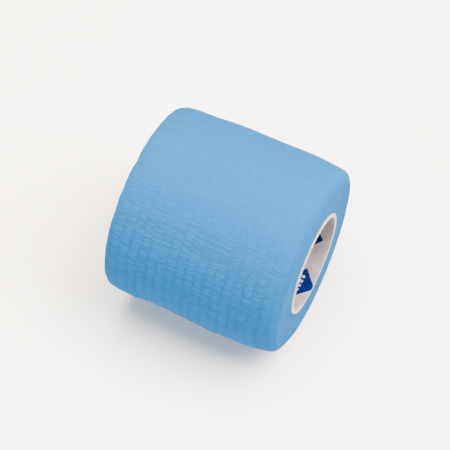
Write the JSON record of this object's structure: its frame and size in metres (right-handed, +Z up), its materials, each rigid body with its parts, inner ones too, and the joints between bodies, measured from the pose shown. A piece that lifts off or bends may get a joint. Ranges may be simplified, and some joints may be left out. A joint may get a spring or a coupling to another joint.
{
  "type": "cohesive bandage roll",
  "caption": "Roll of elastic cohesive bandage wound on an open paper core, lying on its side on a small flat spot.",
  "frame": {"origin": "under the middle of the roll, at the level of the flat spot it lies on", "axes": "+X along the roll's axis towards its more rounded end, +Z up, -Y towards the side the picture shows"},
  "size_m": [0.0516, 0.0562, 0.0557],
  "materials": {
    "bandage_cloth": "matt crinkled nonwoven",
    "core_paper": null
  },
  "bodies": {
    "root": {"bandage_roll": "bandage_cloth", "paper_core": "core_paper"}
  },
  "joints": []
}
